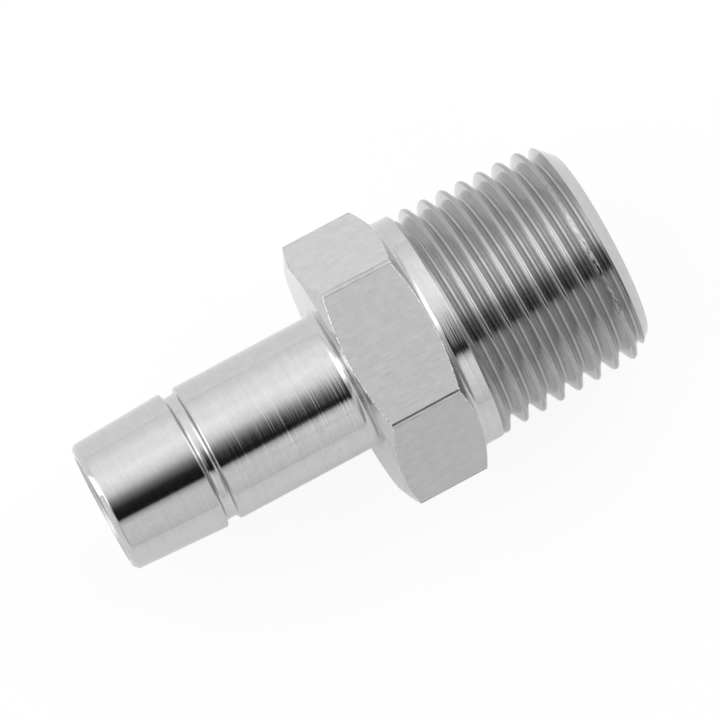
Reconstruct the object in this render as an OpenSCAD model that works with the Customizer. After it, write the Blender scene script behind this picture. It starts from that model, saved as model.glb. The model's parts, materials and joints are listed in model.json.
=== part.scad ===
/*
A stainless steel male adapter, turned from one length of hexagon bar.
One end is a plain tube stub that enters a compression fitting. Its nose
tapers and ends in a groove, where the ferrule bites. The other end is a
tapered male pipe thread. The hexagon between them takes the spanner.
The part lies on one flat of its hexagon, with its axis along X and its
thread towards +X. The origin is under the middle of its length.
*/

/* [Tube stub] */
// Outside diameter of the tube stub
tube_d = 12.7; // [12.3:0.05:13.2]
// Length of the stub, from its end to the hexagon
stub_len = 23.65; // [18:0.05:32]
// Diameter of the nose at its small end
nose_tip_d = 12.1; // [11.7:0.05:12.5]
// Diameter of the lip where the nose meets the groove
nose_lip_d = 12.9; // [12.6:0.05:13.2]
// Length of the nose, from the end to its lip
nose_len = 8.85; // [6:0.05:12]
// Chamfer round the end of the nose
nose_chamfer = 0.4; // [0.1:0.05:0.6]
// Diameter of the groove's floor
groove_d = 11.8; // [11.2:0.05:12.1]
// Width of the groove's floor
groove_w = 0.95; // [0.5:0.05:2]
// Lean of the groove's wall on the nose side, in degrees from square
groove_nose_lean = 20; // [5:1:40]
// Lean of the groove's wall on the tube side, in degrees from square
groove_tube_lean = 20; // [5:1:40]
// Fillet where the stub meets the hexagon
shoulder_fillet = 0.8; // [0.2:0.1:1.2]

/* [Hexagon] */
// Size of the hexagon across its flats
hex_af = 22; // [22:0.1:27]
// Length of the hexagon along the axis
hex_len = 8; // [5:0.1:12]
// Rounding of the six long edges of the bar
hex_edge_r = 0.5; // [0.2:0.05:1]
// Angle of the turned chamfers on the hexagon's ends, from the end face
hex_chamfer_angle = 24; // [15:1:35]
// How far inside the flats the turned chamfers start
hex_chamfer_inset = 0.07; // [0.02:0.01:0.1]

/* [Neck] */
// Diameter of the plain neck between the hexagon and the thread
neck_d = 21.5; // [21.45:0.05:21.7]
// Length of the neck
neck_len = 1.8; // [1:0.05:4]
// Radius of the corner between the neck and the hexagon
neck_fillet = 0.8; // [0.2:0.1:1.2]
// Depth of the small groove between the neck and the thread
start_groove = 0.25; // [0.1:0.05:0.5]
// Lean of both walls of that groove, in degrees from square
start_lean = 35; // [20:1:60]

/* [Thread] */
// Length of the thread, from the neck to the end
thread_len = 15.35; // [12:0.05:18]
// Threads in 25.4 mm
threads_per_inch = 14; // [12:1:19]
// Major diameter at the gauge plane
gauge_d = 20.955; // [20.5:0.005:21]
// Distance of the gauge plane from the thread's end
gauge_len = 8.2; // [6:0.1:10]
// Length in which the diameter grows by one unit
taper = 16; // [12:1:24]
// Included angle of the thread form
thread_angle = 55; // [55:1:60]
// Where a crest meets the end face, in degrees about the axis from the flat below
end_turn = 312; // [0:1:359]
// Turn over which the groove runs out at the neck, in degrees
runout_turn = 200; // [90:10:360]
// How far inside the neck the groove starts
runout_lead = 0.55; // [0:0.05:0.8]
// Diameter of the end face, inside the lead chamfer
lead_d = 17.4; // [16:0.1:18]
// Angle of the lead chamfer, from the axis
lead_angle = 45; // [30:1:60]

/* [Bore] */
// Diameter of the bore through the whole part
bore_d = 9.5; // [6:0.1:10.4]
// Chamfer on both mouths of the bore
mouth_chamfer = 0.3; // [0.1:0.05:0.4]

/* [Hidden] */
$fn = 96;

steel = [0.78, 0.78, 0.77];
// Length by which one turned form runs into the next
join = 0.4;
// How far a cutting form runs past the faces that it cuts
past = 1;
// Flat rim left on the hexagon's end face outside the neck's corner
rim = 0.02;

neck_start = stub_len + hex_len;
thread_start = neck_start + neck_len;
total_len = thread_start + thread_len;

// The thread's form, worked out from its pitch: a triangle with a sixth of
// its height rounded off at the crest and at the root
pitch = 25.4 / threads_per_inch;
flank = thread_angle / 2;
sharp_h = pitch / (2 * tan(flank));
thread_h = sharp_h * 2 / 3;
round_r = sharp_h / 6 * sin(flank) / (1 - sin(flank));
round_turn = 90 - flank;

// One groove from crest to crest, as [distance from the crest, depth]
crest_half = [for (a = [0.35, 1]) [round_r * sin(a * round_turn), round_r * (1 - cos(a * round_turn))]];
root = [for (a = [-1, -0.35, 0.35, 1])
    [pitch / 2 + round_r * sin(a * round_turn), thread_h - round_r * (1 - cos(a * round_turn))]];
next_crest_half = [for (i = [1, 0]) [pitch - crest_half[i][0], crest_half[i][1]]];
groove = concat(crest_half, root, next_crest_half);

// Steps in one turn of the thread
turn_steps = 60;
// A crest under the neck, where the surface starts, and its turns from there
crest_past_end = total_len + pitch * (1 - end_turn / 360);
turns = ceil((crest_past_end - thread_start + join) / pitch) + 1;
first_crest = crest_past_end - turns * pitch;

// Radius over the crests at a distance z from the stub's end
function major_r(z) = gauge_d / 2 + (total_len - gauge_len - z) / (2 * taper);

// Share of the full depth that a groove has where its root is at z
function depth_share(z) =
    let (turned = (z - thread_start + runout_lead) / pitch * 360 / runout_turn)
    turned <= 0 ? 0 : turned >= 1 ? 1 : (1 - cos(180 * turned)) / 2;

// The point of the thread's surface after k steps along the crest, at place m of the groove
function thread_point(k, m) =
    let (
        crest = first_crest + pitch * k / turn_steps,
        z = crest + groove[m][0],
        r = major_r(z) - groove[m][1] * depth_share(crest + pitch / 2),
        angle = 360 * k / turn_steps
    )
    [r * cos(angle), r * sin(angle), z];

module nose_and_tube() {
    nose_side = (nose_lip_d - groove_d) / 2 * tan(groove_nose_lean);
    tube_side = (tube_d - groove_d) / 2 * tan(groove_tube_lean);
    floor_start = nose_len + nose_side;
    floor_end = floor_start + groove_w;
    rotate_extrude() polygon([
        [0, 0],
        [nose_tip_d / 2 - nose_chamfer, 0],
        [nose_tip_d / 2, nose_chamfer],
        [nose_lip_d / 2, nose_len],
        [groove_d / 2, floor_start],
        [groove_d / 2, floor_end],
        [tube_d / 2, floor_end + tube_side],
        [tube_d / 2, stub_len + join],
        [0, stub_len + join]
    ]);
}

// Fills the corner between the stub and the hexagon with a quarter round
module shoulder() {
    r = shoulder_fillet;
    translate([0, 0, stub_len]) rotate_extrude() difference() {
        translate([tube_d / 2 - join, -r]) square([r + join, r + join]);
        translate([tube_d / 2 + r, -r]) circle(r);
    }
}

// Hexagon bar with rounded edges, its ends turned to a shallow cone
module hexagon() {
    edge_at = (hex_af / 2 - hex_edge_r) / cos(30);
    face_r = hex_af / 2 - hex_chamfer_inset;
    run = hex_len / 2 / tan(hex_chamfer_angle);
    translate([0, 0, stub_len]) intersection() {
        linear_extrude(hex_len) hull()
            for (i = [0:5]) rotate(30 + 60 * i) translate([edge_at, 0]) circle(hex_edge_r, $fn = 48);
        rotate_extrude() polygon([
            [0, 0],
            [face_r, 0],
            [face_r + run, hex_len / 2],
            [face_r, hex_len],
            [0, hex_len]
        ]);
    }
}

// The round corner between the neck and the hexagon. The step is lower than the
// radius here, so the corner is part of a quarter round and ends at the rim of
// the hexagon's end face
module neck_corner() {
    face_r = hex_af / 2 - hex_chamfer_inset;
    rise = min(neck_fillet, face_r - neck_d / 2 - rim);
    run = sqrt(pow(neck_fillet, 2) - pow(neck_fillet - rise, 2));
    translate([0, 0, neck_start]) rotate_extrude() difference() {
        translate([neck_d / 2 - join, -join]) square([rise + join, run + join]);
        translate([neck_d / 2 + neck_fillet, run]) circle(neck_fillet);
    }
}

// The neck, whose sloped end is one wall of the groove at the thread's start
module neck() {
    sink = thread_h + past;
    translate([0, 0, neck_start]) rotate_extrude() polygon([
        [0, -join],
        [neck_d / 2, -join],
        [neck_d / 2, neck_len],
        [neck_d / 2 - sink, neck_len + sink * tan(start_lean)],
        [0, neck_len + sink * tan(start_lean)]
    ]);
}

// The helical surface, as strips that follow the crest and share its line
// with the next turn, closed by a point on the axis at each end
module helix() {
    places = len(groove);
    steps = turns * turn_steps;
    function at(k, m) =
        m == places ? at(k + turn_steps, 0) :
        k <= steps ? k * places + m : (steps + 1) * places + k - steps - 1;
    points = concat(
        [for (k = [0:steps]) for (m = [0:places - 1]) thread_point(k, m)],
        [for (k = [steps + 1:steps + turn_steps]) thread_point(k, 0)],
        [[0, 0, first_crest], [0, 0, first_crest + (turns + 1) * pitch]]
    );
    foot = len(points) - 2;
    tip = len(points) - 1;
    strips = [for (k = [0:steps - 1]) for (m = [0:places - 1])
        [at(k, m), at(k, m + 1), at(k + 1, m + 1), at(k + 1, m)]];
    foot_fan = [for (k = [0:turn_steps - 1]) [foot, at(k, 0), at(k + 1, 0)]];
    foot_step = [for (m = [0:places - 1]) [foot, at(0, m + 1), at(0, m)]];
    tip_fan = [for (k = [steps:steps + turn_steps - 1]) [tip, at(k + 1, 0), at(k, 0)]];
    tip_step = [for (m = [0:places - 1]) [tip, at(steps, m), at(steps, m + 1)]];
    polyhedron(points, concat(strips, foot_fan, foot_step, tip_fan, tip_step), convexity = 10);
}

// The thread, trimmed to its length, to the lead chamfer on its end and to the
// other wall of the groove at its start
module thread() {
    reach = max(neck_d, gauge_d) / 2 + past;
    bottom_r = neck_d / 2 - start_groove;
    bottom_z = thread_start + start_groove * tan(start_lean);
    inner_r = bottom_r - join;
    intersection() {
        helix();
        rotate_extrude() polygon([
            [0, bottom_z - join * tan(start_lean)],
            [inner_r, bottom_z - join * tan(start_lean)],
            [reach, bottom_z + (reach - bottom_r) * tan(start_lean)],
            [reach, total_len - (reach - lead_d / 2) / tan(lead_angle)],
            [lead_d / 2, total_len],
            [0, total_len]
        ]);
    }
}

module bore() {
    mouth_r = bore_d / 2 + mouth_chamfer;
    translate([0, 0, -past]) cylinder(d = bore_d, h = total_len + 2 * past);
    rotate_extrude() polygon([[0, -past], [mouth_r + past, -past], [0, mouth_r]]);
    rotate_extrude() polygon([
        [0, total_len - mouth_r],
        [mouth_r + past, total_len + past],
        [0, total_len + past]
    ]);
}

module adapter_body() {
    color(steel) translate([-total_len / 2, 0, hex_af / 2]) rotate([0, 90, 0]) difference() {
        union() {
            nose_and_tube();
            shoulder();
            hexagon();
            neck_corner();
            neck();
            thread();
        }
        bore();
    }
}

adapter_body();
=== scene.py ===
# %% [markdown]
# # A stainless steel male adapter
#
# This lesson dresses a pipe fitting for a close photograph. The real one is a
# single piece: a length of hexagon bar goes into a lathe, one end is turned down
# to a tube stub, the other end gets a tapered pipe thread, and a drill runs
# through the middle. We follow the same order here, with rings of points for the
# turned forms and Booleans for the cuts.
#
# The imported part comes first. It is the fixed frame: everything is placed by it.

import json
import math

import bmesh
import bpy
import numpy as np
from mathutils import Matrix, Vector


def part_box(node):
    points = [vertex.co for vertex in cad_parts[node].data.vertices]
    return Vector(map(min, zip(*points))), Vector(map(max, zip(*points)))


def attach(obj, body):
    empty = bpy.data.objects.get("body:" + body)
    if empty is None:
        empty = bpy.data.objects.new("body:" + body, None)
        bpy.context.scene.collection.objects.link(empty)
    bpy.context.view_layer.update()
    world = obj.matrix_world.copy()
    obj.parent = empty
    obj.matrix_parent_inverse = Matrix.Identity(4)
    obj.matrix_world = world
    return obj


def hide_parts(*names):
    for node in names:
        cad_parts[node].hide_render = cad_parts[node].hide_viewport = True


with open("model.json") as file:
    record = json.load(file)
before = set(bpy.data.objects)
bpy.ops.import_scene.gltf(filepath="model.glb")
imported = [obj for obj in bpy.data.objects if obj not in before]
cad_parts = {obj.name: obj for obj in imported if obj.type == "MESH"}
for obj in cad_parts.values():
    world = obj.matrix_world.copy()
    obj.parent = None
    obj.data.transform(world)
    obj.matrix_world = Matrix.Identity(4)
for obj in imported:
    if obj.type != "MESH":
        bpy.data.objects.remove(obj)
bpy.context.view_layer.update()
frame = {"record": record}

# %% [markdown]
# ## Sizes
#
# A turner's drawing gives distances from one end and diameters, in millimetres,
# and so do we. The overall length, the hexagon and the main radii come from the
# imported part, so that the two can't drift apart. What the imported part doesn't
# state, such as the nose and its groove, is named in the cell that first needs it.

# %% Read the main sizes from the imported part
MM = 0.001
mounts = {m["name"]: m for m in frame["record"]["mounts"]}


def mount_size(name, key):
    """A dimension of one of the part's mounts, in millimetres."""
    return mounts[name]["dims"][key]


low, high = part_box("adapter_body")
total_len = (high.x - low.x) / MM
hex_af = (high.z - low.z) / MM
tube_r = mount_size("tube_stub", "r_mm")
bore_r = mount_size("bore", "r_mm")
gauge_r = mount_size("male_thread", "r_mm")
thread_len = mount_size("male_thread", "length_mm")
thread_start = total_len - thread_len
print(f"length {total_len:.1f}, flats {hex_af:.1f}, tube radius {tube_r}, bore radius {bore_r}")

# %% [markdown]
# ## Rings
#
# A turned form is a stack of circles. We keep every form of this fitting as a
# list of rings that all have the same columns, so that any ring can be joined to
# the next by a strip of four-sided faces. The columns are spaced by the hexagon:
# a few lie close together on each of its rounded edges, and the rest share the
# flats between them. A circle can use the same columns without harm.

# %% Space the columns round the hexagon
hex_edge_r = 0.5
# The turn from one edge of the bar to the next, in degrees, and the columns on an edge and on a flat
EDGE_TURN, EDGE_STEPS, FLAT_STEPS = 60, 12, 64


def hexagon_outline():
    """Points round the bar, one row each, from one rounded edge to the next."""
    half_turn = EDGE_TURN / 2
    centre = (hex_af / 2 - hex_edge_r) / math.cos(math.radians(half_turn))
    edges = []
    for side in range(360 // EDGE_TURN):
        middle = math.radians(half_turn + EDGE_TURN * side)
        turns = middle + np.radians(np.linspace(-half_turn, half_turn, EDGE_STEPS + 1))
        hub = centre * np.array([math.cos(middle), math.sin(middle)])
        edges.append(hub + hex_edge_r * np.stack([np.cos(turns), np.sin(turns)], axis=1))
    points = []
    for edge, following in zip(edges, edges[1:] + edges[:1]):
        share = np.linspace(0, 1, FLAT_STEPS + 1)[1:-1, None]
        points += [edge, edge[-1] * (1 - share) + following[0] * share]
    return np.concatenate(points)


outline = hexagon_outline()
hex_r = np.hypot(*outline.T)
columns = np.unwrap(np.arctan2(outline[:, 1], outline[:, 0]))
print(len(columns), "columns; bar", round(2 * hex_r.max(), 2), "mm across its rounded corners")

# %% Put a mesh into the scene
def linked(name, data):
    """A new object with this data, in the scene."""
    made = bpy.data.objects.new(name, data)
    bpy.context.scene.collection.objects.link(made)
    return made


def mesh_object(name, points, faces):
    """A new object from points in metres and faces."""
    mesh = bpy.data.meshes.new(name)
    mesh.from_pydata(points, [], faces)
    return linked(name, mesh)


def solid(name, points, faces):
    """An object from points in millimetres, with its faces turned outwards."""
    made = mesh_object(name, (np.asarray(points) * MM).tolist(), faces)
    shape = bmesh.new()
    shape.from_mesh(made.data)
    bmesh.ops.recalc_face_normals(shape, faces=shape.faces)
    shape.to_mesh(made.data)
    shape.free()
    return made


# %% Make a solid from rings
def ring(z, r):
    """The points of one ring. z and r are numbers, or a value for each column."""
    z, r = np.broadcast_to(z, columns.shape), np.broadcast_to(r, columns.shape)
    return np.stack([r * np.cos(columns), r * np.sin(columns), z], axis=1)


def loft(name, rings):
    """A closed solid from rings, with a flat face on the first and on the last."""
    count = len(columns)
    faces = [list(range(count)), [(len(rings) - 1) * count + i for i in range(count)]]
    for level in range(len(rings) - 1):
        here, above = level * count, (level + 1) * count
        for i in range(count):
            j = (i + 1) % count
            faces.append([here + i, here + j, above + j, above + i])
    return solid(name, np.concatenate(rings), faces)


# %% [markdown]
# ## Softened corners
#
# No corner on a real turned part is perfectly sharp. A tool has a small nose
# radius, and the operator breaks each edge with a file. The radius is only a few
# hundredths of a millimetre, but it catches a thin line of light, and without it
# metal looks like a drawing. So each corner of a profile carries the length by
# which it is cut back, and the gap is bridged by a short curve.

# %% Soften the corners of a profile
CORNER_STEPS = 6


def bridge(before, corner, after, steps=CORNER_STEPS):
    """Points of a curve that leaves one line at before and joins the next at after."""
    return [
        (1 - s) ** 2 * before + 2 * s * (1 - s) * corner + s**2 * after
        for s in np.linspace(0, 1, steps + 1)
    ]


def softened(profile):
    """The (z, r) points of a profile of (z, r, cut) corners, each cut back and bridged."""
    corners = [np.array(point[:2], float) for point in profile]
    cuts = [point[2] for point in profile]
    points = [corners[0]]
    for last, corner, following, cut in zip(corners, corners[1:], corners[2:], cuts[1:]):
        if cut == 0:
            points.append(corner)
            continue
        back, ahead = last - corner, following - corner
        points += bridge(
            corner + back / np.linalg.norm(back) * cut,
            corner,
            corner + ahead / np.linalg.norm(ahead) * cut,
        )
    return points + [corners[-1]]


def hollow_fillet(z, r, radius, first, last, steps=10):
    """Uncut corners along a concave arc about (z, r), between two angles in degrees."""
    turns = np.radians(np.linspace(first, last, steps + 1))
    return [(z + radius * math.cos(a), r + radius * math.sin(a), 0) for a in turns]


# %% [markdown]
# ## The stub
#
# The stub goes into a compression fitting. Its nose is a shallow cone, a little
# fatter than the tube at its lip, and the groove behind the lip is where the
# ferrule bites. A quarter round joins the tube to the hexagon: a sharp inside
# corner would crack there, and on the finished part it is the brightest line.

# %% Draw the stub's profile
stub_len, shoulder_fillet = 23.65, 0.8
nose_tip_r, nose_lip_r, nose_len, nose_chamfer = 6.05, 6.45, 8.85, 0.4
groove_r, groove_w, groove_lean = 5.9, 0.95, math.radians(20)
# How far the corners are cut back: at the stub's end, the lip, the groove's floor and the tube
end_cut, lip_cut, floor_cut, tube_cut = 0.08, 0.14, 0.26, 0.16
# The radius at which the hexagon's end face turns into its cone
hex_face_r = hex_af / 2 - 0.07
# Flat ends start well inside the bore, where the drill will take the metal away
inside_r = bore_r / 2

groove_start = nose_len + (nose_lip_r - groove_r) * math.tan(groove_lean)
groove_end = groove_start + groove_w
tube_start = groove_end + (tube_r - groove_r) * math.tan(groove_lean)

stub_profile = softened(
    [
        (0, inside_r, 0),
        (0, nose_tip_r - nose_chamfer, end_cut),
        (nose_chamfer, nose_tip_r, end_cut),
        (nose_len, nose_lip_r, lip_cut),
        (groove_start, groove_r, floor_cut),
        (groove_end, groove_r, floor_cut),
        (tube_start, tube_r, tube_cut),
        *hollow_fillet(stub_len - shoulder_fillet, tube_r + shoulder_fillet, shoulder_fillet, -90, 0),
        (stub_len, hex_face_r, 0),
    ]
)
print(len(stub_profile), "rings in the stub; tube from", round(tube_start, 2), "mm")

# %% [markdown]
# ## The hexagon
#
# The bar is drawn to its hexagon with slightly rounded edges. The lathe then
# turns both ends to a shallow cone, and where the cone meets the flats it leaves
# the curved lines that every nut has. Here the cone's height at each column
# follows from how far that column stands out. The meeting line is softened like
# the other corners, but unevenly, because the tool leaves small burrs on it.

# %% Ring the hexagon
hex_len, hex_chamfer = 8.0, math.radians(24)
neck_start = stub_len + hex_len
# How far the turned edge is cut back, and between which shares of that it varies along the edge
hex_edge_cut, least_cut, most_cut = 0.06, 0.5, 1.6
# The most that the cut may take of the cone, which is narrow in the middle of a flat
CONE_SHARE = 0.5
chance = np.random.default_rng(5)


def hexagon_end():
    """Rings from the turned cone round to the flats, measured from the hexagon's end face."""
    standing_out = hex_r - hex_face_r
    edge = np.stack([standing_out * math.tan(hex_chamfer), hex_r], axis=1)
    cut = hex_edge_cut * chance.uniform(least_cut, most_cut, len(columns))[:, None]
    cone_cut = np.minimum(cut, CONE_SHARE * standing_out[:, None])
    down_the_cone = -np.array([math.sin(hex_chamfer), math.cos(hex_chamfer)])
    along_the_flat = np.array([1.0, 0.0])
    return bridge(edge + cone_cut * down_the_cone, edge, edge + cut * along_the_flat)


hex_rings = [ring(stub_len + e[:, 0], e[:, 1]) for e in hexagon_end()]
hex_rings += [ring(neck_start - e[:, 0], e[:, 1]) for e in reversed(hexagon_end())]
print(len(hex_rings), "rings on the hexagon, from", stub_len, "to", neck_start, "mm")

# %% [markdown]
# ## The neck
#
# A short plain neck keeps the thread clear of the hexagon. It meets the hexagon
# in a round corner and ends in one wall of a small groove, where the thread
# starts. Under the thread the bar goes on as a plain core. It lies deeper than
# the thread's roots, so the threaded rod can be added over it.

# %% Draw the neck, and the core that the thread sits on
neck_r, neck_fillet, neck_cut = 10.75, 0.8, 0.04
start_lean = math.radians(35)
core_r, core_end = 8.4, total_len - 1.2
sink = neck_r - core_r

# The corner's radius is more than the step between them, so its arc starts part of the way round
fillet_first = 180 + math.degrees(math.asin(1 - (hex_face_r - neck_r) / neck_fillet))
fillet_z = neck_start - neck_fillet * math.cos(math.radians(fillet_first))
neck_profile = softened(
    [
        *hollow_fillet(fillet_z, neck_r + neck_fillet, neck_fillet, fillet_first, 270, 8),
        (thread_start, neck_r, neck_cut),
        (thread_start + sink * math.tan(start_lean), core_r, 0),
        (core_end, core_r, 0),
    ]
)
print(len(neck_profile), "rings; the neck is", round(thread_start - neck_start, 2), "mm long")

# %% Loft the turned bar
turned = [ring(z, r) for z, r in stub_profile]
necked = [ring(z, r) for z, r in neck_profile]
body = loft("male_adapter_steel", turned + hex_rings + necked)
print("turned bar:", len(body.data.polygons), "faces")

# %% [markdown]
# ## The thread
#
# A 1/2 inch taper pipe thread has 14 turns to the inch, flanks 55 degrees apart
# and a taper of 1 in 16. One sixth of the triangle's height is rounded off at
# each crest and root, which takes the sharpness from a real pipe thread and
# gives it its bright lines. A Screw modifier could turn one profile into a helix,
# but neither the taper nor the run-out would follow. So we sweep one groove, from
# crest to crest, round the axis in small steps, and let its depth fade out where
# the tool leaves the work.

# %% Draw one groove of the thread
pitch = 25.4 / 14
flank = math.radians(55 / 2)
sharp_h = pitch / (2 * math.tan(flank))
thread_h = sharp_h * 2 / 3
round_r = sharp_h / 6 * math.sin(flank) / (1 - math.sin(flank))
round_turn = math.radians(90) - flank


def thread_groove(round_steps=5, flank_steps=3):
    """(distance from the crest, depth) across one groove. The next crest isn't repeated."""
    turns = np.linspace(0, 1, round_steps + 1) * round_turn
    crest = np.stack([round_r * np.sin(turns), round_r * (1 - np.cos(turns))], axis=1)
    root = np.array([pitch / 2, thread_h]) - crest[::-1]
    share = np.linspace(0, 1, flank_steps + 1)[1:-1, None]
    down = np.concatenate([crest, crest[-1] * (1 - share) + root[0] * share, root])
    up = np.stack([pitch - down[-2:0:-1, 0], down[-2:0:-1, 1]], axis=1)
    return np.concatenate([down, up])


groove = thread_groove()
print("groove:", len(groove), "points,", round(thread_h, 3), "mm deep")

# %% Give the thread its taper and its ends
THREAD_STEPS = 192
taper = 1 / 16
gauge_z = total_len - 8.2
# Where a crest meets the end face and over what the groove runs out, in turns
end_turn, runout_turn = 312 / 360, 200 / 360
runout_lead = 0.55
# The lead chamfer leaves the last crest thin, and it is nicked all along: from where, over what
# length the nicks set in, and how deep they go
worn_from, worn_fade, worn_depth = total_len - 3.4, 0.4, 0.07


def crest_r(z):
    """Radius over the crests at a distance from the stub's end."""
    return gauge_r + (gauge_z - z) * taper / 2


def depth_share(z):
    """Share of the full depth where the groove's root is at z, from none at the neck to all of it."""
    turned = np.clip((z - thread_start + runout_lead) / pitch / runout_turn, 0, 1)
    return (1 - np.cos(np.pi * turned)) / 2


print("radius over the crests:", [round(crest_r(z), 2) for z in (thread_start, total_len)], "mm")

# %% Sweep the groove round the axis
def threaded_rod():
    """A solid rod with the thread on it, longer than the thread at both ends."""
    last_crest = total_len + pitch * (1 - end_turn)
    turns = math.ceil((last_crest - thread_start) / pitch) + 1
    steps = turns * THREAD_STEPS
    first_crest = last_crest - turns * pitch
    step = np.arange(steps + THREAD_STEPS + 1)[:, None]
    crest = first_crest + pitch * step / THREAD_STEPS
    z = crest + groove[:, 0]
    r = crest_r(z) - groove[:, 1] * depth_share(crest + pitch / 2)
    worn = np.clip((z - worn_from) / worn_fade, 0, 1) * (groove[:, 1] < worn_depth)
    r -= worn * worn_depth * chance.uniform(0, 1, worn.shape) ** 2
    turn = 2 * np.pi * step / THREAD_STEPS
    points = np.stack([r * np.cos(turn), r * np.sin(turn), z], axis=2)
    swept, rim = points[: steps + 1], points[steps + 1 :, 0]
    tips = [[0, 0, first_crest], [0, 0, last_crest + pitch]]
    vertices = np.concatenate([swept.reshape(-1, 3), rim, tips])
    return solid("threaded_rod", vertices, rod_faces(steps, len(groove), len(vertices)))


def rod_faces(steps, places, total):
    """Strips that share each crest with the next turn, and fans that close both ends."""

    def at(k, m):
        if m == places:
            return at(k + THREAD_STEPS, 0)
        return k * places + m if k <= steps else (steps + 1) * places + k - steps - 1

    foot, tip = total - 2, total - 1
    faces = [
        [at(k, m), at(k + 1, m), at(k + 1, m + 1), at(k, m + 1)]
        for k in range(steps)
        for m in range(places)
    ]
    faces += [[foot, at(k + 1, 0), at(k, 0)] for k in range(THREAD_STEPS)]
    faces += [[foot, at(0, m), at(0, m + 1)] for m in range(places)]
    faces += [[tip, at(k, 0), at(k + 1, 0)] for k in range(steps, steps + THREAD_STEPS)]
    faces += [[tip, at(steps, m + 1), at(steps, m)] for m in range(places)]
    return faces


thread = threaded_rod()
print("threaded rod:", len(thread.data.polygons), "faces")

# %% Turn the tool that trims
# How far one form runs into the next, and how far a tool runs past the work
join, past = 0.4, 1.0
start_groove, lead_r, lead_angle, lead_cut = 0.25, 8.7, math.radians(45), 0.05


def turned_tool(name, profile):
    """A solid of revolution from a plain (z, r) profile."""
    return loft(name, [ring(z, r) for z, r in profile])


reach = neck_r + past
# The thread starts at the other wall of the small groove behind the neck
bottom_r = neck_r - start_groove
bottom_z = thread_start + start_groove * math.tan(start_lean)
trim = turned_tool(
    "trim",
    softened(
        [
            (bottom_z - join * math.tan(start_lean), inside_r, 0),
            (bottom_z - join * math.tan(start_lean), bottom_r - join, 0),
            (bottom_z + (reach - bottom_r) * math.tan(start_lean), reach, 0),
            (total_len - (reach - lead_r) / math.tan(lead_angle), reach, 0),
            (total_len, lead_r, lead_cut),
            (total_len, inside_r, 0),
        ]
    ),
)
print("trimmed thread:", round(bottom_z, 2), "to", round(total_len, 2), "mm")

# %% Turn the drill
mouth_chamfer = 0.3
mouth_r = bore_r + mouth_chamfer
drill = turned_tool(
    "drill",
    [
        (-past, mouth_r + past),
        (mouth_chamfer, bore_r),
        (total_len - mouth_chamfer, bore_r),
        (total_len + past, mouth_r + past),
    ],
)
print("drill:", 2 * bore_r, "mm, and", 2 * mouth_r, "mm at the mouths")

# %% [markdown]
# ## Cutting
#
# A Boolean does what the machine does. The rod is trimmed to its length and its
# lead chamfer, added to the bar, and the drill is taken away. We apply each
# modifier at once, so that the next cut works on plain geometry, and count the
# loose edges at the end: a closed solid has none.

# %% Cut the solids together
def cut(work, tool, operation):
    """Applies one Boolean to work and removes the tool."""
    step = work.modifiers.new(operation, "BOOLEAN")
    step.operation, step.object, step.solver = operation, tool, "MANIFOLD"
    seen = work.evaluated_get(bpy.context.evaluated_depsgraph_get())
    result = bpy.data.meshes.new_from_object(seen)
    work.modifiers.clear()
    work.data = result
    bpy.data.objects.remove(tool)


def loose_edges(mesh):
    """Number of edges that don't have exactly two faces."""
    shape = bmesh.new()
    shape.from_mesh(mesh)
    count = sum(not edge.is_manifold for edge in shape.edges)
    shape.free()
    return count


cut(thread, trim, "INTERSECT")
cut(body, thread, "UNION")
cut(body, drill, "DIFFERENCE")
print("finished solid:", len(body.data.polygons), "faces,", loose_edges(body.data), "loose edges")

# %% [markdown]
# ## Into place
#
# The fitting stands on its stub's end so far. We lay it down on one flat of its
# hexagon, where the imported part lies, and let it stand for that part. Then the
# round faces are smoothed. Corners sharper than a limit stay crisp, and the limit
# lies just under the angle between the hexagon's end face and its cone.

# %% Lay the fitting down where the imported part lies
body.matrix_world = Matrix.Translation((low.x, 0, hex_af / 2 * MM)) @ Matrix.Rotation(
    math.radians(90), 4, "Y"
)
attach(body, "root")
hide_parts("adapter_body")
print("its axis is", round(hex_af / 2, 2), "mm above the floor")

# %% Smooth the round faces and keep the corners
SHARP_FROM = math.radians(21)
body.data.shade_smooth()
body.data.set_sharp_from_angle(angle=SHARP_FROM)
weigh = body.modifiers.new("weigh_normals", "WEIGHTED_NORMAL")
weigh.keep_sharp = True
weigh.weight = 100
sharp = body.data.attributes["sharp_edge"].data
print(sum(edge.value for edge in sharp), "sharp edges of", len(body.data.edges))

# %% [markdown]
# ## Shader expressions
#
# A pattern is a sum of noises, ramps and products, and it reads best as one. So
# a socket is wrapped in a small class, and writing `1 - 0.2 * lines` adds the
# Math nodes. All other nodes come from one method.

# %% Wrap sockets and nodes
class Value:
    """One output of a node. Arithmetic on it adds Math nodes to its tree."""

    def __init__(self, tree, socket):
        self.tree, self.socket = tree, socket

    def math(self, operation, *values):
        return self.tree.node("ShaderNodeMath", {"operation": operation}, dict(enumerate(values)))

    def __add__(self, other):
        return self.math("ADD", self, other)

    def __sub__(self, other):
        return self.math("SUBTRACT", self, other)

    def __rsub__(self, other):
        return self.math("SUBTRACT", other, self)

    def __mul__(self, other):
        return self.math("MULTIPLY", self, other)

    __radd__, __rmul__ = __add__, __mul__


class Tree:
    """The node tree of a material or a world, emptied."""

    def __init__(self, owner):
        owner.use_nodes = True
        self.nodes, self.links = owner.node_tree.nodes, owner.node_tree.links
        self.nodes.clear()

    def node(self, kind, settings=None, sockets=None, output=0):
        """Adds a node: its settings first, then the values or links of its sockets."""
        made = self.nodes.new(kind)
        for name, value in (settings or {}).items():
            setattr(made, name, value)
        for name, value in (sockets or {}).items():
            if isinstance(value, Value):
                self.links.new(value.socket, made.inputs[name])
            else:
                made.inputs[name].default_value = value
        return Value(self, made.outputs[output]) if len(made.outputs) else None


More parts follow.
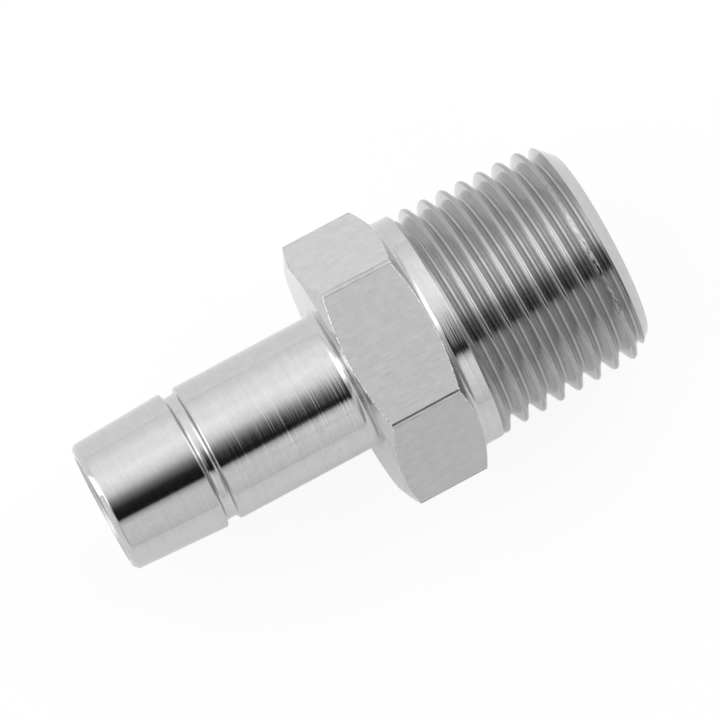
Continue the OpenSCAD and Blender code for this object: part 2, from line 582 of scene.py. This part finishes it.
# %% [markdown]
# ## Steel
#
# Every surface here is the same pale steel with its own tool marks, but four
# finishes also carry painted light and shade in their colour: the flats are a
# lighter copy of the steel, and the thread's crests and roots, the bar's rounded
# long edges and a thin line beside each flat are darker copies. A lathe leaves
# fine lines round the part, which spread a reflection along the axis and leave it
# sharp across. The bar's flats keep the straight lines of the drawing die and look
# duller. An image of brushed steel would show its seams on so many faces, so both
# are noise, stretched in the lines' direction. A coarse and a fine noise together
# look less regular than one, and a third, unstretched, makes the colour a little
# cloudy.

# %% Mix the steel
STEEL = (0.545, 0.543, 0.54)
# The shares of the fine and the coarse lines, and the coarse ones' count beside the fine ones'
FINE, COARSE, COARSE_COUNT = 0.35, 0.65, 0.5
# The clouds in the colour: their count in a millimetre and their strength
CLOUDS, CLOUDY = 1.2, 0.25


def noise(tree, place, stretch, detail=1.0, gain=0.5):
    """Noise from 0 to 1. stretch is the count of its marks in a millimetre along x, y and z."""
    per_metre = {0: place, 1: [along / MM for along in stretch]}
    spread = tree.node("ShaderNodeVectorMath", {"operation": "MULTIPLY"}, per_metre)
    settings = {"Vector": spread, "Scale": 1.0, "Detail": detail, "Roughness": gain}
    return tree.node("ShaderNodeTexNoise", {}, settings, "Fac")


def steel(name, stretch, roughness, anisotropy, turned_by, relief, tone, grain, shade=1.0):
    """A steel with tool marks, whose relief is in millimetres and whose shade, where it isn't 1,
    lightens or darkens the colour as painted light or shade.

    tone is the share of the marks in the roughness, and grain their share in the colour.
    """
    material = bpy.data.materials.new(name)
    tree = Tree(material)
    place = tree.node("ShaderNodeTexCoord", output="Object")
    fine, coarse = (
        noise(tree, place, [count * along for along in stretch]) for count in (1, COARSE_COUNT)
    )
    lines = FINE * fine + COARSE * coarse
    mottle = noise(tree, place, (CLOUDS, CLOUDS, CLOUDS), detail=4.0, gain=0.75)
    # A shade away from 1 is painted light or shade: a lighter or darker copy of the same steel
    tint = shade * (1 + grain * (lines - 0.5) + CLOUDY * (mottle - 0.5))
    colour = tree.node("ShaderNodeVectorMath", {"operation": "SCALE"}, {0: STEEL, "Scale": tint})
    marks = {"Strength": 1.0, "Distance": relief * MM, "Height": lines}
    look = {
        "Base Color": colour,
        "Metallic": 1.0,
        "Roughness": roughness + tone * (lines - 0.5),
        "Anisotropic": anisotropy,
        "Anisotropic Rotation": turned_by,
        "Normal": tree.node("ShaderNodeBump", {}, marks, "Normal"),
    }
    shader = tree.node("ShaderNodeBsdfPrincipled", {}, look, "BSDF")
    tree.node("ShaderNodeOutputMaterial", {}, {"Surface": shader})
    return material


# %% [markdown]
# ## Finishes
#
# A turned face mirrors the studio, a flat of the drawn bar blurs it, and a bore
# is dull. A broken edge is finer than any noise we could place by eye, but the
# solid already has faces of its own there. So no masks are painted: each face
# takes its finish from where it lies and which way it looks.

# %% List the marks on the turned faces
# The blur follows the fitting's axis on a turned face, and stays as it is on a flat
ALONG_AXIS, AS_IT_IS = 0.25, 0.0
TURNED = {
    "stretch": (0.12, 0.12, 8), "roughness": 0.12, "anisotropy": 0.5, "turned_by": ALONG_AXIS,
    "relief": 0.01, "tone": 0.05, "grain": 0.15,
}
# Painted shade: the thread's crests and roots take a darker copy of the steel, which dims the
# highlights on the crests and darkens the roots
THREAD_LINES_PAINTED_DARK = {
    "stretch": (0.3, 0.3, 9), "roughness": 0.1, "anisotropy": 0.4, "turned_by": ALONG_AXIS,
    "relief": 0.004, "tone": 0.05, "grain": 0.1, "shade": 0.66,
}
THREAD_FLANKS = {
    "stretch": (0.3, 0.3, 9), "roughness": 0.16, "anisotropy": 0.4, "turned_by": ALONG_AXIS,
    "relief": 0.006, "tone": 0.08, "grain": 0.1,
}
DRILLED = {
    "stretch": (0.2, 0.2, 6), "roughness": 0.35, "anisotropy": 0.6, "turned_by": ALONG_AXIS,
    "relief": 0.01, "tone": 0.1, "grain": 0.1,
}

# %% List the marks on the drawn bar, and mix all finishes
# Painted light: the flats keep the drawn bar's marks, and their steel is also made lighter than the
# rest, standing in for more light on them
DRAWN_FLATS_PAINTED_LIGHT = {
    "stretch": (8, 8, 0.9), "roughness": 0.6, "anisotropy": 0.5, "turned_by": AS_IT_IS,
    "relief": 0.012, "tone": 0.15, "grain": 0.34, "shade": 1.07,
}
# Painted shade: the rounded long edges take a darker copy of the steel, which dims the highlight along
# them
BAR_EDGES_PAINTED_DARK = {
    "stretch": (4, 4, 0.8), "roughness": 0.22, "anisotropy": 0.3, "turned_by": AS_IT_IS,
    "relief": 0.012, "tone": 0.1, "grain": 1.0, "shade": 0.85,
}
BROKEN_EDGES = {
    "stretch": (5, 5, 5), "roughness": 0.2, "anisotropy": 0.0, "turned_by": AS_IT_IS,
    "relief": 0.12, "tone": 0.1, "grain": 1.6,
}
# Painted shade: a dashed dark line beside each flat along the rounded long edges, where the edge shows
# dark reflections
PAINTED_EDGE_SHADE = {
    "stretch": (5, 5, 0.9), "roughness": 0.3, "anisotropy": 0.0, "turned_by": AS_IT_IS,
    "relief": 0.02, "tone": 0.1, "grain": 5.0, "shade": 0.42,
}
finishes = {
    "turned": TURNED,
    "drawn_flats": DRAWN_FLATS_PAINTED_LIGHT,
    "thread_lines": THREAD_LINES_PAINTED_DARK,
    "drilled": DRILLED,
    "bar_edges": BAR_EDGES_PAINTED_DARK,
    "broken_edges": BROKEN_EDGES,
    "thread_flanks": THREAD_FLANKS,
    "edge_seams": PAINTED_EDGE_SHADE,
}
body.data.materials.clear()
for name, marks in finishes.items():
    body.data.materials.append(steel(name, **marks))
print("finishes:", ", ".join(finishes))

# %% Give each face its finish
# How far a face's direction points along the axis: an end face, a cone, a flank, and at most a flat
END_FACE, CONE, FLANK, FLAT = 0.98, 0.88, 0.8, 0.05
# How far round a flat and the thin line of painted shade beside it reach, in degrees from the flat's
# own direction
FLAT_TURN, SHADE_LINE_TURN = 1, 6
# How far a computed size or direction may be off
SLACK = 0.02
# Where the lead chamfer may start
lead_start = total_len - 1.8


def finish_of(middle, normal):
    """The finish of a face, by its middle and its direction, with z along the fitting's axis."""
    z, r = middle[2] / MM, math.hypot(middle[0], middle[1]) / MM
    if r < bore_r + mouth_chamfer + SLACK:
        return "drilled"
    on_lead = z > lead_start and abs(normal[2] - math.sin(lead_angle)) < SLACK
    if z > thread_start and not on_lead and normal[2] < END_FACE:
        # Crests and roots take the darker painted steel
        return "thread_flanks" if abs(normal[2]) > FLANK else "thread_lines"
    if not stub_len < z < neck_start or abs(normal[2]) > CONE:
        return "turned"
    if abs(normal[2]) > FLAT:
        return "broken_edges"
    half_turn = EDGE_TURN / 2
    turn = math.degrees(math.atan2(normal[1], normal[0]))
    from_flat = (turn + half_turn) % EDGE_TURN - half_turn
    # The flats take the lighter painted steel
    if abs(from_flat) < FLAT_TURN:
        return "drawn_flats"
    # Beside each flat lies a thin line of painted shade, and the rest of each rounded edge takes the
    # darker painted steel
    return "edge_seams" if abs(from_flat) < SHADE_LINE_TURN else "bar_edges"


places = {name: place for place, name in enumerate(finishes)}
for face in body.data.polygons:
    face.material_index = places[finish_of(face.center, face.normal)]
counts = np.bincount([face.material_index for face in body.data.polygons])
print({name: int(n) for name, n in zip(finishes, counts)})

# %% [markdown]
# ## The camera
#
# The fitting was photographed from above and from rather far away, with a long
# lens, and turned about the line of sight so that it climbs to the right. We
# build the camera's axes from three angles: the tilt of the axis away from the
# picture, the roll of the upper flat about the axis, and the climb. A constraint
# that tracks a target would aim it too, but would not set the roll.

# %% Set up the camera
# Fitted to the outline in the photograph, with lengths along the picture in pixels
PICTURE, focal_pixels = 720, 5800
camera_distance = 0.501
tilt = math.asin(0.0889)
roll = math.radians(4.2)
climb = math.radians(28.13)
aim_along, aim_across = 1.26 * MM, 0.837 * MM

back = Vector(
    (-math.sin(tilt), -math.cos(tilt) * math.sin(roll), math.cos(tilt) * math.cos(roll))
)
across = Vector((0, math.cos(roll), math.sin(roll)))
along = across.cross(back)
right = math.cos(climb) * along - math.sin(climb) * across
up = math.sin(climb) * along + math.cos(climb) * across
aim = Vector((aim_along, 0, hex_af / 2 * MM)) + aim_across * across

lens = bpy.data.cameras.new("camera")
lens.sensor_width = 36
lens.lens = focal_pixels / PICTURE * lens.sensor_width
lens.clip_start, lens.clip_end = 0.01, 20
camera = linked("camera", lens)
camera.matrix_world = Matrix(
    [[*row, place] for row, place in zip(zip(right, up, back), aim + camera_distance * back)]
    + [[0, 0, 0, 1]]
)
bpy.context.scene.camera = camera
print("lens", round(lens.lens), "mm")

# %% [markdown]
# ## The studio
#
# Polished metal is a mirror, so its picture is a picture of the studio. The
# fitting lay under a half-round tent of white cloth. The lens looked in through a
# long gap in the cloth, which is the black band that runs along the tube, and
# lamps behind the cloth made one side brighter and shone in past both ends of the
# gap.
#
# We could hang cloths and lamps one by one. A single half cylinder whose
# brightness is written down by angle does the same without noise, and each number
# has one plain effect: the angle about the axis says how far down a turned face
# it shows, and the angle along the fitting says on which face.

# %% Write down how bright the cloth is
# In line with the lens, by the angle about the axis from the line of sight
IN_LINE = [
    (-94, 1.02), (-80, 1.12), (-66, 1.27), (-50, 1.3), (-38, 1.42), (-30, 1.33), (-18, 1.08),
    (-12, 0.86), (-6, 0.52), (0, 0.26), (7, 0.09), (12, 0.02), (30, 0.0), (32, 0.4),
    (36, 0.68), (42, 0.9), (60, 0.92), (80, 0.84), (83, 0.84), (85, 0.7), (86, 0.7),
]
# Where the neck sees it, and the middle and half width of that stretch along the fitting
AT_THE_NECK = [
    (-94, 1.02), (-78, 1.17), (-64, 1.31), (-51, 1.39), (-28, 1.45), (-17, 1.5), (-11, 1.45),
    (-5, 1.37), (0, 1.27), (5, 1.1), (11, 0.8), (17, 0.48), (22, 0.1), (27, 0.03), (29, 0.6),
    (33, 1.3), (39, 1.55), (45, 1.4), (58, 1.2), (70, 1.06), (80, 0.9), (86, 0.85),
]
NECK_MIDDLE, NECK_HALF = 8.0, 2.1
# Beyond the gap's ends, past the stub and past the thread
PAST_THE_STUB = [
    (-94, 0.85), (-66, 1.2), (-55, 1.5), (-45, 2.2), (-8, 2.2), (0, 1.4), (8, 0.75), (14, 0.47),
    (26, 0.47), (33, 0.9), (48, 0.75), (60, 0.5), (86, 0.4),
]
PAST_THE_THREAD = [
    (-94, 0.8), (-70, 1.0), (-55, 1.5), (-45, 2.2), (-8, 2.2), (0, 1.4), (8, 0.85), (14, 0.65),
    (28, 0.46), (40, 0.38), (86, 0.3),
]
# Where the gap ends along the fitting by the angle about the axis, and how softly, in degrees
GAP_FROM = [(-70, -20), (-45, -18), (0, -17), (29, -19)]
GAP_TO = [(-70, 22), (-14, 22), (-4, 17), (4, 20), (12, 25), (29, 27)]
GAP_SOFT = 4.0


def brightness(turns, leans):
    """The cloth's brightness by its angle about the axis and its angle along the fitting."""
    levels = np.interp(turns, *zip(*IN_LINE))
    short_of = np.interp(turns, *zip(*GAP_FROM)) - leans
    beyond = leans - np.interp(turns, *zip(*GAP_TO))
    for stops, share in (
        (AT_THE_NECK, np.exp(-(((leans - NECK_MIDDLE) / NECK_HALF) ** 2))),
        (PAST_THE_STUB, np.clip(short_of / GAP_SOFT + 0.5, 0, 1)),
        (PAST_THE_THREAD, np.clip(beyond / GAP_SOFT + 0.5, 0, 1)),
    ):
        levels += (np.interp(turns, *zip(*stops)) - levels) * share
    return levels


print("cloth in line with the gap:", brightness(np.array([-40.0, 20.0, 60.0]), np.zeros(3)).round(2))

# %% Make surfaces for the studio
WHITE = (1, 1, 1, 1)


def shining(name, strength):
    """A material that only glows. strength is a number, or the name of the attribute that holds it."""
    material = bpy.data.materials.new(name)
    tree = Tree(material)
    if isinstance(strength, str):
        strength = tree.node("ShaderNodeAttribute", {"attribute_name": strength}, output="Fac")
    shine = tree.node("ShaderNodeEmission", {}, {"Color": WHITE, "Strength": strength})
    tree.node("ShaderNodeOutputMaterial", {}, {"Surface": shine})
    return material


def surface(name, points, material):
    """An open surface from a grid of points in metres."""
    rows, count = points.shape[:2]
    faces = [
        [i * count + j, i * count + j + 1, (i + 1) * count + j + 1, (i + 1) * count + j]
        for i in range(rows - 1)
        for j in range(count - 1)
    ]
    made = mesh_object(name, points.reshape(-1, 3).tolist(), faces)
    made.data.materials.append(material)
    return made


# %% Hang the tent
TENT_RADIUS, TENT_LENGTH = 0.4, 2.4
TENT_FROM, TENT_TO = -94, 86
TENT_ROWS, TENT_COLUMNS = 181, 481
turns, xs = np.meshgrid(
    np.linspace(TENT_FROM, TENT_TO, TENT_ROWS),
    np.linspace(-TENT_LENGTH / 2, TENT_LENGTH / 2, TENT_COLUMNS),
    indexing="ij",
)
angles = np.radians(turns) + roll
tent_points = np.stack(
    [xs, -TENT_RADIUS * np.sin(angles), TENT_RADIUS * np.cos(angles) + hex_af / 2 * MM], axis=2
)
canopy = surface("tent", tent_points, shining("tent_cloth", "glow"))
canopy.visible_camera = False
levels = brightness(turns, np.degrees(np.arctan(xs / TENT_RADIUS)))
glow = canopy.data.attributes.new("glow", "FLOAT", "POINT")
glow.data.foreach_set("value", levels.ravel().astype(np.float32))
print("tent:", len(canopy.data.polygons), "faces, no brighter than", levels.max().round(2))

# %% [markdown]
# ## The card
#
# The small chamfer round the stub's end looks out of the tent's open end. In the
# photograph an arc of it is brighter than plain white paper would make it, so a
# lit, curved card stands there, and the lens doesn't see it.

# %% Stand a card beside the stub's end
CARD_GLOW = 2.2
CARD_DISTANCE, CARD_BOTTOM, CARD_TOP = 0.036, 0.0005, 0.03
# From where to where it turns towards +Y, in degrees from the axis
CARD_FROM, CARD_TO, CARD_POINTS = 12, 32, 17
angles, heights = np.meshgrid(
    np.radians(np.linspace(CARD_FROM, CARD_TO, CARD_POINTS)), (CARD_BOTTOM, CARD_TOP), indexing="ij"
)
card_points = np.stack(
    [low.x - CARD_DISTANCE * np.cos(angles), CARD_DISTANCE * np.sin(angles), heights], axis=2
)
side_card = surface("side_card", card_points, shining("side_card", CARD_GLOW))
side_card.visible_camera = False
print("card:", round(CARD_DISTANCE / MM), "mm from the stub's end")

# %% [markdown]
# ## The floor
#
# The floor and all that lies beyond the tent are white paper. A lit matt white is
# never quite white in the picture, so the paper is mostly plain white where the
# lens meets it, and partly where a reflection does. The rest is matt and keeps
# the fitting's shadow.

# %% Lay the floor
# The floor lies a hair under the flat that rests on it, so that the two don't share a plane
FLOOR_SIZE, FLOOR_DROP = 4.0, 0.00002
PAPER = (0.93, 0.93, 0.93, 1)
# The share of plain white in the paper, by the ray that meets it
WHITE_SHARE = {"Camera": 0.9, "Glossy": 0.35, "Transmission": 0.9}

paper = bpy.data.materials.new("paper")
tree = Tree(paper)
seen = sum(
    share * tree.node("ShaderNodeLightPath", output=f"Is {ray} Ray")
    for ray, share in WHITE_SHARE.items()
)
matt = tree.node("ShaderNodeBsdfDiffuse", {}, {"Color": PAPER})
white = tree.node("ShaderNodeEmission", {}, {"Color": WHITE, "Strength": 1.0})
mixed = tree.node("ShaderNodeMixShader", {}, {0: seen, 1: matt, 2: white})
tree.node("ShaderNodeOutputMaterial", {}, {"Surface": mixed})

half = FLOOR_SIZE / 2
floor_points = [[(x, y, -FLOOR_DROP) for x in (-half, half)] for y in (-half, half)]
floor = surface("floor", np.array(floor_points), paper)
print("floor:", FLOOR_SIZE, "m square")

# %% Light the surroundings
world = bpy.data.worlds.new("surroundings")
bpy.context.scene.world = world
tree = Tree(world)
sky = tree.node("ShaderNodeBackground", {}, {"Color": WHITE, "Strength": 1.0})
tree.node("ShaderNodeOutputWorld", {}, {"Surface": sky})
bpy.context.scene.view_settings.view_transform = "Standard"
print("view:", bpy.context.scene.view_settings.view_transform)
